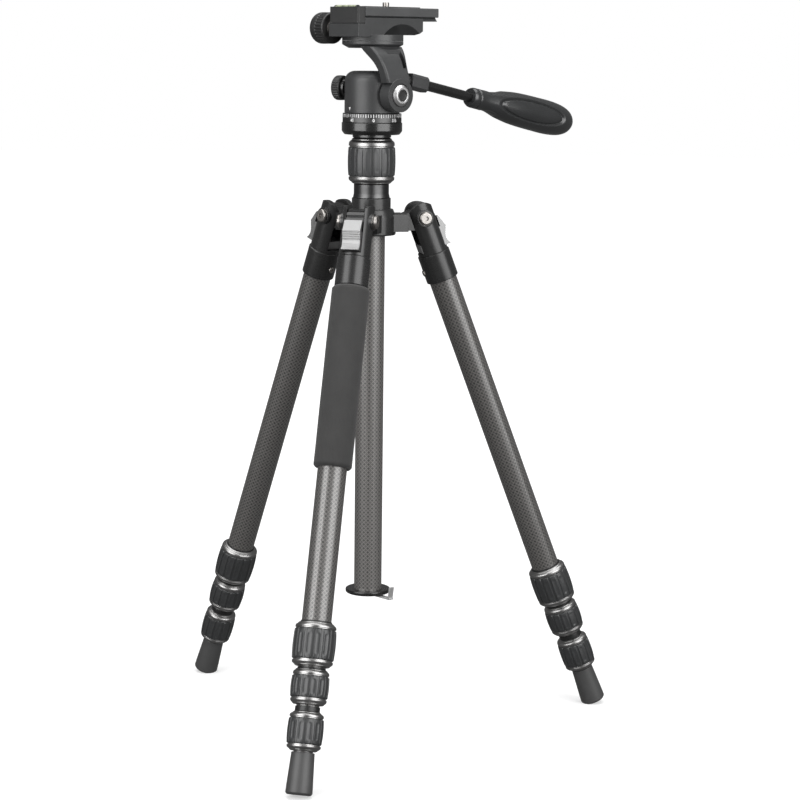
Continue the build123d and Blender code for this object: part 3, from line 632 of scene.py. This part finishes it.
def rib_angles(ribs):
    """Angles gathered where the ribs of a sleeve begin and end."""
    pitch = 2 * math.pi / ribs
    return [(rib + sample) * pitch for rib in range(ribs) for sample in RIB_SAMPLES]


def sleeve_part(low, high, radius, ribs, panel_depth):
    """Rubber sleeve with upright ribs; each rib has a shallow oblong panel."""
    middle = (low + high) / 2
    half = (high - low) / 2
    pitch = 2 * math.pi / ribs
    inner = radius - SLEEVE_THICKNESS
    drop, reach_of_drop = SLEEVE_ROUNDING
    rows = 40
    heights = [middle - half * math.cos(math.pi * row / rows) for row in range(rows + 1)]
    outline = [(inner, low)]
    for height in heights:
        ease = min(height - low, high - height)
        crown = SLEEVE_CROWN * (1 - ((height - middle) / half) ** 2)
        shoulder = drop * (1 - smooth_step(ease, 0.0, reach_of_drop))
        outline.append((radius - SLEEVE_CROWN + crown - shoulder, height))
    outline.append((inner, high))

    def swell(angle, reach, height):
        """Sink the grooves between the ribs and the panel in each rib."""
        if reach < inner + 0.2:     # the bore stays round
            return reach
        nearest = round(angle / pitch) * pitch
        across = (angle - nearest) * radius
        along = height - middle
        rib_width = pitch * radius * RIB_WIDTH
        panel_width = pitch * radius * PANEL_WIDTH
        rib = rounded_patch(across, along, rib_width, half - RIB_GAP, RIB_CORNER)
        panel = rounded_patch(across, along, panel_width, half * PANEL_HEIGHT, PANEL_CORNER)
        return reach - RIB_DEPTH * (1 - rib) - panel_depth * panel

    points, faces = turning(outline, rib_angles(ribs), swell)
    return points, faces, rubber


def band_part(edge, towards, band, shoulder, end_radius, bore):
    """Metal band at one end of a lock: a lip, a round shoulder and a groove before the sleeve."""
    def at(share):
        """Height at a share of the band, from the lock's edge."""
        return edge + towards * band * share

    lip = end_radius + (shoulder - end_radius) * 0.35
    groove = shoulder - BAND_GROOVE
    corners = [
        (bore, at(0), 0), (end_radius, at(0), 0.5), (lip, at(0.16), 0.4), (lip, at(0.24), 0),
        (lip + 0.3, at(0.26), 0.2), (shoulder - 0.1, at(0.52), 1.8), (shoulder, at(0.93), 0.3),
        (groove, at(0.95), 0), (groove, at(1.1), 0), (bore, at(1.1), 0),
    ]
    points, faces = turning(soften(corners), even_angles(96))
    return points, faces, band_metal


def seal_part(edge, radius, tall):
    """Dark ring that wipes the tube above a lock."""
    inner = radius - SEAL_THICKNESS
    low, high = edge - SEAL_SUNK, edge + tall
    corners = [(inner, low, 0), (radius, low, 0), (radius, high, 0.5), (inner, high, 0)]
    points, faces = turning(soften(corners), even_angles(64))
    return points, faces, line_black


def make_lock(node, low, high, largest, end_radius, bore, ribs, bands, seal, matrix):
    """Twist lock: two metal bands, the ribbed sleeve and the seal."""
    shoulder = largest - SLEEVE_CROWN - BAND_STEP
    low_band, high_band = bands
    sleeve_low = low + low_band * BAND_SHOWN
    sleeve_high = high - high_band * BAND_SHOWN
    panel_depth = PANEL_DEPTHS[node.split("_")[0]]
    parts = [
        band_part(low, 1, low_band, shoulder, end_radius, bore),
        band_part(high, -1, high_band, shoulder, end_radius, bore),
        sleeve_part(sleeve_low, sleeve_high, largest, ribs, panel_depth),
        seal_part(high, bore + SEAL_REACH, seal),
    ]
    piece = make_piece(f"{node}_looks", parts, matrix, node)
    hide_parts(node)


def make_locks():
    """Every twist lock of the legs and the column."""
    for leg in LEGS:
        matrix = leg_place(leg)
        for number, (start, end, *sizes) in enumerate(LEG_LOCKS, 1):
            node = f"leg_{leg}_lock_{number}"
            seal = LEG_SEALS[number - 1]
            make_lock(node, -end, -start, *sizes, LEG_LOCK_BANDS, seal, matrix)
    make_lock("column_lock", *COLUMN_LOCK, COLUMN_LOCK_BANDS, COLUMN_SEAL, column_place)


# ---------------------------------------------------------------- foam grip
def make_foam():
    """Foam sleeve on the front leg, slightly full in the middle and soft at the ends."""
    low, high = -FOAM_END, -FOAM_START
    rows = 90
    outline = [(FOAM_BORE, low)]
    for row in range(rows + 1):
        height = low + (high - low) * row / rows
        ease = min(height - low, high - height)
        rim = FOAM_RIM * (1 - smooth_step(ease, *FOAM_RIM_SPAN)) ** 1.5
        outline.append((FOAM_RADIUS - rim, height))
    outline.append((FOAM_BORE, high))

    def swell(angle, reach, height):
        """Small unevenness of a pulled-on foam sleeve."""
        if reach < FOAM_BORE + 0.2:     # the bore stays round
            return reach
        wave = math.sin(3 * angle + height * 0.05) + math.sin(2 * angle - height * 0.083 + 1.1)
        return reach + FOAM_WAVE * (wave - 2)

    points, faces = turning(outline, even_angles(96), swell)
    parts = [(points, faces, foam)]
    piece = make_piece(
        "foam_grip_looks", parts, leg_place("front"), "leg_front", sharp=60
    )
    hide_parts("foam_grip")


# ---------------------------------------------------------------- handle grip and knobs
def outline_radius(share):
    """Radius of the grip at a share of its length, by a smooth curve through its outline."""
    spans = list(zip(GRIP_OUTLINE, GRIP_OUTLINE[1:]))
    for number, ((low, low_radius), (high, high_radius)) in enumerate(spans):
        if share <= high:
            break
    before = GRIP_OUTLINE[max(number - 1, 0)]
    after = GRIP_OUTLINE[min(number + 2, len(GRIP_OUTLINE) - 1)]
    span = high - low
    step = (share - low) / span
    slope_low = (high_radius - before[1]) / max(high - before[0], 1e-6) * span
    slope_high = (after[1] - low_radius) / max(after[0] - low, 1e-6) * span
    return (
        low_radius * (2 * step ** 3 - 3 * step ** 2 + 1)
        + slope_low * (step ** 3 - 2 * step ** 2 + step)
        + high_radius * (3 * step ** 2 - 2 * step ** 3)
        + slope_high * (step ** 3 - step ** 2)
    )


def from_direction(angle, direction):
    """Angle from a direction, between minus and plus half a turn."""
    return math.remainder(angle - direction, 2 * math.pi)


def sunk_panel(reach, angle, share):
    """Depth of the oval panel on each side of the grip, with a deeper line round it."""
    rim, rim_spread, rim_depth = GRIP_RIM
    depth = 0.0
    for side in (-math.pi / 2, math.pi / 2):
        across = from_direction(angle, side) * (reach - depth)
        along = (share - GRIP_PANEL_MIDDLE) * GRIP_LENGTH
        width = GRIP_PANEL_WIDTH + GRIP_PANEL_WIDENING * (share - 0.5)
        oval = math.hypot(across / width, along / GRIP_PANEL_LENGTH)
        edge_gap = (oval - 1) * GRIP_PANEL_BORDER
        depth += GRIP_PANEL_DEPTH * (1 - smooth_step(edge_gap, *GRIP_PANEL_EDGE))
        depth += rim_depth * math.exp(-((edge_gap - rim) / rim_spread) ** 2)
    return depth


def neck_flats(angle, share):
    """Depth of the flat on each side of the grip's neck."""
    middle, half_length, half_angle, depth = NECK_FLAT
    total = 0.0
    for side in (0.0, math.pi):
        turn = from_direction(angle, side)
        flat = math.hypot(turn / half_angle, (share - middle) / half_length)
        total += depth * (1 - smooth_step(flat, 0.55, 1.0))
    return total


def make_handle_grip():
    """Moulded grip with a sunk oval panel on each side and a groove behind its collar."""
    rows = 190
    tip_rows = 24
    shares = [GRIP_TIP * row / rows for row in range(rows)]
    for row in range(tip_rows + 1):
        shares.append(GRIP_TIP + (1 - GRIP_TIP) * math.sin(math.pi / 2 * row / tip_rows))
    outline = [(0.0, GRIP_START), (GRIP_BORE, GRIP_START)]
    for share in shares:
        outline.append((max(outline_radius(share), 0.0), GRIP_START + share * GRIP_LENGTH))
    outline[-1] = (0.0, GRIP_START + GRIP_LENGTH)

    def swell(angle, reach, height):
        """Cut the panels, the collar's groove and the flats of the neck."""
        if reach < GRIP_BORE + 0.5:     # the flat front stays flat
            return reach
        share = (height - GRIP_START) / GRIP_LENGTH
        groove, spread_of_groove, groove_depth = GRIP_GROOVE
        reach -= groove_depth * math.exp(-((share - groove) / spread_of_groove) ** 2)
        reach -= sunk_panel(reach, angle, share)
        return reach - neck_flats(angle, share)

    points, faces = turning(outline, even_angles(160), swell)
    placed = [handle_place @ point for point in points]
    parts = [(placed, faces, grip_plastic)]
    piece = make_piece("handle_grip_looks", parts, Matrix.Identity(4), "handle")
    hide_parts("handle_grip")


def fluted(count, depth, low, high):
    """Function that cuts upright flutes between two heights."""
    def swell(angle, reach, height):
        """Sink a row of round flutes."""
        above = smooth_step(height, low - 0.4, low + 0.4)
        below = 1 - smooth_step(height, high - 0.6, high + 0.6)
        flute = (0.5 - 0.5 * math.cos(count * angle)) ** 1.5
        return reach - depth * above * below * flute
    return swell


def fine_rows(corners):
    """Rounded outline with its long outer runs divided."""
    longest = 0.7
    inside = 6
    outline = soften(corners, 7)
    divided = []
    for (radius, height), (next_radius, next_height) in zip(outline, outline[1:] + outline[:1]):
        across = next_radius - radius
        along = next_height - height
        steps = 1
        if min(radius, next_radius) > inside:
            steps = max(1, math.ceil(math.hypot(across, along) / longest))
        for step in range(steps):
            share = step / steps
            divided.append((radius + across * share, height + along * share))
    return divided


def make_pan_knob():
    """Knob that locks the pan: a fluted rim with a sunk face."""
    collar, start, end, radius = PAN_KNOB
    face = end - 0.7
    corners = [
        (0, start, 0), (radius - 0.6, start, 0.6), (radius, start + 1.4, 0.6),
        (radius, end - 1.8, 1.2), (radius - 1.8, end, 0.6), (radius - 3.6, end, 0.6),
        (radius - 4.4, face, 0.4), (0, face, 0),
    ]
    flutes = fluted(KNOB_FLUTES, PAN_FLUTE_DEPTH, start + 1.6, end - 1.6)
    points, faces = turning(fine_rows(corners), even_angles(300), flutes)
    neck_end = start + NECK_OVERLAP
    neck = [
        (0, PAN_SCREW_START, 0), (KNOB_SCREW_RADIUS, PAN_SCREW_START, 0),
        (KNOB_SCREW_RADIUS, collar, 0), (PAN_COLLAR_RADIUS, collar, 0.5),
        (PAN_COLLAR_RADIUS, neck_end, 0), (0, neck_end, 0),
    ]
    neck_points, neck_faces = turning(soften(neck), even_angles(48))
    parts = [(points, faces, knob_plastic), (neck_points, neck_faces, gloss_black)]
    piece = make_piece("pan_knob_looks", parts, pan_knob_place, "pan_knob")
    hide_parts("pan_knob")


def make_clamp_knob():
    """Domed knob that clamps the plate, fluted next to the platform."""
    start, rim, end, radius = CLAMP_KNOB
    corners = [
        (0, start, 0), (radius - 0.8, start, 0.6), (radius, start + 1.2, 0.5), (radius, rim, 0.5),
        (radius, end, CLAMP_DOME), (0, end, 0),
    ]
    flutes = fluted(KNOB_FLUTES, CLAMP_FLUTE_DEPTH, start + 1.6, rim + 0.4)
    points, faces = turning(fine_rows(corners), even_angles(300), flutes)
    collar_radius, collar_height = CLAMP_COLLAR
    collar = start - collar_height
    neck_end = start + NECK_OVERLAP
    neck = [
        (0, CLAMP_SCREW_START), (KNOB_SCREW_RADIUS, CLAMP_SCREW_START),
        (KNOB_SCREW_RADIUS, collar), (collar_radius, collar),
        (collar_radius, neck_end), (0, neck_end),
    ]
    neck_points, neck_faces = turning(neck, even_angles(48))
    parts = [(points, faces, knob_plastic), (neck_points, neck_faces, screw_steel)]
    piece = make_piece("clamp_knob_looks", parts, clamp_knob_place, "clamp_knob")
    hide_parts("clamp_knob")


# ---------------------------------------------------------------- scale, marks and small trim
def wrap(points, radius, direction, height):
    """Flat points (right, up) in millimetres, laid round the column at a direction in degrees."""
    wrapped = []
    for right, up in points:
        angle = math.radians(direction) + right / radius
        wrapped.append(Vector((radius * math.cos(angle), radius * math.sin(angle), height + up)) * MM)
    return wrapped


def raised_mark(corners, radius, direction, height):
    """Points of a thin mark: its corners sunk in the surface, and again above it."""
    points = wrap(corners, radius - MARK_SUNK, direction, height)
    return points + wrap(corners, radius + MARK_RAISED, direction, height)


def tick_part(width, tall, direction):
    """Tick of the scale, narrow enough to be flat."""
    corners = [(-width / 2, 0), (width / 2, 0), (width / 2, tall), (-width / 2, tall)]
    points = raised_mark(corners, SCALE_RADIUS, direction, SCALE_TOP - tall)
    faces = [[3, 2, 1, 0], [4, 5, 6, 7], [0, 1, 5, 4], [1, 2, 6, 5], [2, 3, 7, 6], [3, 0, 4, 7]]
    return points, faces, print_white


def number_part(words, direction):
    """Numeral bent round the scale ring."""
    curve = bpy.data.curves.new("numeral", "FONT")
    curve.body = words
    curve.size = NUMERAL_SIZE
    curve.align_x = "CENTER"
    curve.offset = NUMERAL_WEIGHT
    text = bpy.data.objects.new("numeral", curve)
    bpy.context.scene.collection.objects.link(text)
    bpy.context.view_layer.update()
    finished_text = text.evaluated_get(bpy.context.evaluated_depsgraph_get())
    flat = bpy.data.meshes.new_from_object(finished_text)
    outline = [(vertex.co.x, vertex.co.y) for vertex in flat.vertices]
    points = wrap(outline, SCALE_RADIUS + NUMERAL_RAISED, direction, NUMERAL_HEIGHT)
    faces = [list(face.vertices) for face in flat.polygons]
    bpy.data.objects.remove(text)
    bpy.data.meshes.remove(flat)
    return points, faces, print_white


def make_scale():
    """Degree marks: a tick every 5 degrees and a numeral every 45."""
    parts = []
    for number in range(360 // TICK_STEP):
        width, tall = SHORT_TICK if number % 3 else LONG_TICK
        parts.append(tick_part(width, tall, SCALE_ZERO + TICK_STEP * number))
    for turned in range(0, 360, NUMERAL_STEP):
        parts.append(number_part(str((360 - turned) % 360), SCALE_ZERO + turned))
    make_piece("scale_marks", parts, column_place, "column")


def make_index():
    """White triangle on the housing that reads the scale."""
    points = raised_mark(INDEX_OUTLINE, HOUSING_RADIUS, INDEX_DIRECTION, INDEX_HEIGHT)
    faces = [[2, 1, 0], [3, 4, 5], [0, 1, 4, 3], [1, 2, 5, 4], [2, 0, 3, 5]]
    make_piece("pan_index", [(points, faces, print_white)], column_place, "pan_head")


def make_cap_disc():
    """Dark disc in the middle of the bright tilt cap."""
    points, faces = turning(soften(CAP_DISC_OUTLINE), even_angles(64))
    matrix = head_place @ Matrix.Translation(Vector((0, CAP_DISC_START, TILT_HEIGHT)) * MM)
    matrix = matrix @ Matrix.Rotation(math.radians(90), 4, "X")
    make_piece("tilt_cap_disc", [(points, faces, knob_plastic)], matrix, "tilt_head")


def make_washers():
    """Dark washer round each pivot screw's head."""
    inner = SCREW_HEAD_RADIUS + WASHER_GAP
    corners = [
        (inner, WASHER_BACK, 0), (WASHER_RADIUS, WASHER_BACK, 0),
        (WASHER_RADIUS, WASHER_FACE, 0.3), (inner, WASHER_FACE, 0.1),
    ]
    points, faces = turning(soften(corners), even_angles(64))
    parts = [(points, faces, casting_black)]
    for leg in LEGS:
        for side, turn in (("a", -90), ("b", 90)):
            matrix = leg_place(leg) @ Matrix.Rotation(math.radians(turn), 4, "X")
            make_piece(f"leg_{leg}_washer_{side}", parts, matrix, f"leg_{leg}")


def level_lines():
    """Two line rings round the vial and a dark cap at each of its ends."""
    inside, outside, distance, half = VIAL_RING
    parts = []
    for middle in (-distance, distance):
        low, high = middle - half, middle + half
        ring = [(inside, low), (outside, low), (outside, high), (inside, high)]
        parts.append(turning(ring, even_angles(48)) + (line_black,))
    radius, start, end = VIAL_CAP
    for side in (-1, 1):
        low, high = side * start, side * end
        cap = soften([(0, low, 0), (radius, low, 0.2), (radius, high, 0.3), (0, high, 0)])
        parts.append(turning(cap, even_angles(48)) + (line_black,))
    return parts


def make_level():
    """Liquid, bubble and lines of the spirit level."""
    matrix = head_place @ Matrix.Translation(Vector(VIAL_PLACE) * MM)
    matrix = matrix @ Matrix.Rotation(math.radians(-90), 4, "X")
    radius, half = LIQUID
    fill = soften([(0, -half, 0), (radius, -half, 0.6), (radius, half, 0.6), (0, half, 0)])
    points, faces = turning(fill, even_angles(48))
    make_piece("level_liquid", [(points, faces, liquid)], matrix, "tilt_head")
    make_piece("level_lines", level_lines(), matrix, "tilt_head")
    air_radius, air_half, air_height = BUBBLE
    rows = 16
    air = [(0.0, -air_half)]
    for row in range(1, rows):
        angle = math.pi * row / rows
        air.append((air_radius * math.sin(angle), -air_half * math.cos(angle)))
    air.append((0.0, air_half))
    points, faces = turning(air, even_angles(32))
    lift = Matrix.Translation(Vector((0, 0, air_height)) * MM)
    make_piece("level_bubble", [(points, faces, bubble)], lift @ matrix, "tilt_head")


# ---------------------------------------------------------------- finishes of the CAD nodes
def finish_node(name, material):
    """Give a CAD node its finish."""
    mesh = nodes[name].data
    mesh.materials.clear()
    mesh.materials.append(material)


def finish_nodes():
    """Finish of every CAD node that stays."""
    for leg in LEGS:
        matrix = leg_place(leg)
        finish_node(f"leg_{leg}_casting", casting_black)
        finish_node(f"leg_{leg}_pivot_screws", screw_steel)
        finish_node(f"leg_{leg}_tab", tab_silver)
        finish_node(f"leg_{leg}_foot", foot_rubber)
        for number, radius in enumerate(TUBE_RADII, 1):
            weave = carbon(f"carbon_{leg}_{number}", matrix, radius, *LEG_WEAVE)
            finish_node(f"leg_{leg}_tube_{number}", weave)
    column_weave = carbon("carbon_column", column_place, TUBE_RADII[0], *COLUMN_WEAVE_LIT)
    finish_node("column_tube", column_weave)
    finishes = {
        "spider": casting_black,
        "hub_collet": collet_metal,
        "column_top_plate": collet_metal,
        "column_end_cap": gloss_black,
        "weight_hook": hook_steel,
        "pan_base": gloss_black,
        "pan_scale": scale_metal,
        "pan_housing": head_paint,
        "tilt_bracket": head_paint,
        "tilt_cap": cap_silver,
        "handle_clamp": head_paint,
        "platform": head_paint,
        "level_block": block_paint,
        "level_vial": glass,
        "clamp_jaw": head_paint,
        "quick_plate": plate_paint,
        "plate_pad": pad_rubber,
        "camera_screw": screw_steel,
        "handle_rod": gloss_black,
    }
    for name, material in finishes.items():
        finish_node(name, material)


# ---------------------------------------------------------------- stage
# Place of the camera from the column's axis at the height of the leg pivots, in metres.
CAMERA_OFFSET = Vector((0.54111, -2.115115, 0.169936))
CAMERA_DIRECTION = math.degrees(math.atan2(CAMERA_OFFSET.y, CAMERA_OFFSET.x))
CAMERA_LENS = 99.14           # focal length for a sensor 36 mm wide
CAMERA_TURN = 13.545          # degrees about the vertical
CAMERA_DOWN = 9.168           # degrees below level
CAMERA_ROLL = 0.656
FLOOR_RADIUS = 12000.0        # millimetres
ROOM_GREY = 0.15
# Soft lights: name, direction in degrees, distance and height and size in metres, brightness.
SOFTBOXES = (
    ("left_light", CAMERA_DIRECTION - 46, 2.4, 1.4, (2.0, 2.4), 4.5),
    ("right_light", CAMERA_DIRECTION + 46, 2.4, 1.4, (2.2, 2.4), 4.5),
    ("top_light", 0, 0.0, 2.6, (2.6, 2.6), 3.0),
)


def add_camera():
    """Camera at the photograph's viewing angle."""
    data = bpy.data.cameras.new("camera")
    data.lens = CAMERA_LENS
    data.sensor_width = 36
    camera = bpy.data.objects.new("camera", data)
    bpy.context.scene.collection.objects.link(camera)
    turn = Matrix.Rotation(math.radians(CAMERA_TURN), 4, "Z")
    turn = turn @ Matrix.Rotation(math.radians(90 - CAMERA_DOWN), 4, "X")
    turn = turn @ Matrix.Rotation(math.radians(CAMERA_ROLL), 4, "Z")
    camera.matrix_world = Matrix.Translation(centre + CAMERA_OFFSET) @ turn
    bpy.context.scene.camera = camera


def add_softbox(name, direction, distance, height, size, brightness):
    """Soft light at a height, level and facing the column, or above it if distance is 0.

    direction is in degrees, lengths are in metres, and brightness is that of its surface.
    """
    data = bpy.data.lights.new(name, "AREA")
    data.shape = "RECTANGLE"
    data.size, data.size_y = size
    data.energy = brightness * math.pi * size[0] * size[1]
    light = bpy.data.objects.new(name, data)
    bpy.context.scene.collection.objects.link(light)
    angle = math.radians(direction)
    spot_x = centre.x + distance * math.cos(angle)
    spot_y = centre.y + distance * math.sin(angle)
    spot = Vector((spot_x, spot_y, height))
    target = Vector((centre.x, centre.y, height if distance else 0.0))
    light.location = spot
    light.rotation_mode = "QUATERNION"
    light.rotation_quaternion = (target - spot).to_track_quat("-Z", "Y")
    light.visible_camera = False


def add_floor():
    """Plain pale floor."""
    outline = [(0.0, 0.0), (FLOOR_RADIUS, 0.0), (FLOOR_RADIUS, -1.0), (0.0, -1.0)]
    points, faces = turning(outline, even_angles(128))
    mesh = bpy.data.meshes.new("floor")
    mesh.from_pydata(points, [], faces)
    mesh.materials.append(floor_material())
    floor = bpy.data.objects.new("floor", mesh)
    bpy.context.scene.collection.objects.link(floor)
    floor.visible_glossy = False
    floor.visible_diffuse = False
    floor.visible_shadow = False


def add_world():
    """White backdrop behind a dimmer room, which the glossy parts mirror."""
    world = bpy.data.worlds.new("studio")
    bpy.context.scene.world = world
    world.use_nodes = True
    tree = world.node_tree
    seen = add(tree, "ShaderNodeLightPath").outputs["Is Camera Ray"]
    colour = blend_colours(tree, seen, grey(ROOM_GREY), grey(1.0))
    tree.links.new(colour, tree.nodes["Background"].inputs["Color"])


make_locks()
make_foam()
make_handle_grip()
make_pan_knob()
make_clamp_knob()
make_scale()
make_index()
make_cap_disc()
make_washers()
make_level()
finish_nodes()
add_camera()
for softbox in SOFTBOXES:
    add_softbox(*softbox)
add_floor()
add_world()
bpy.context.scene.view_settings.view_transform = "Standard"
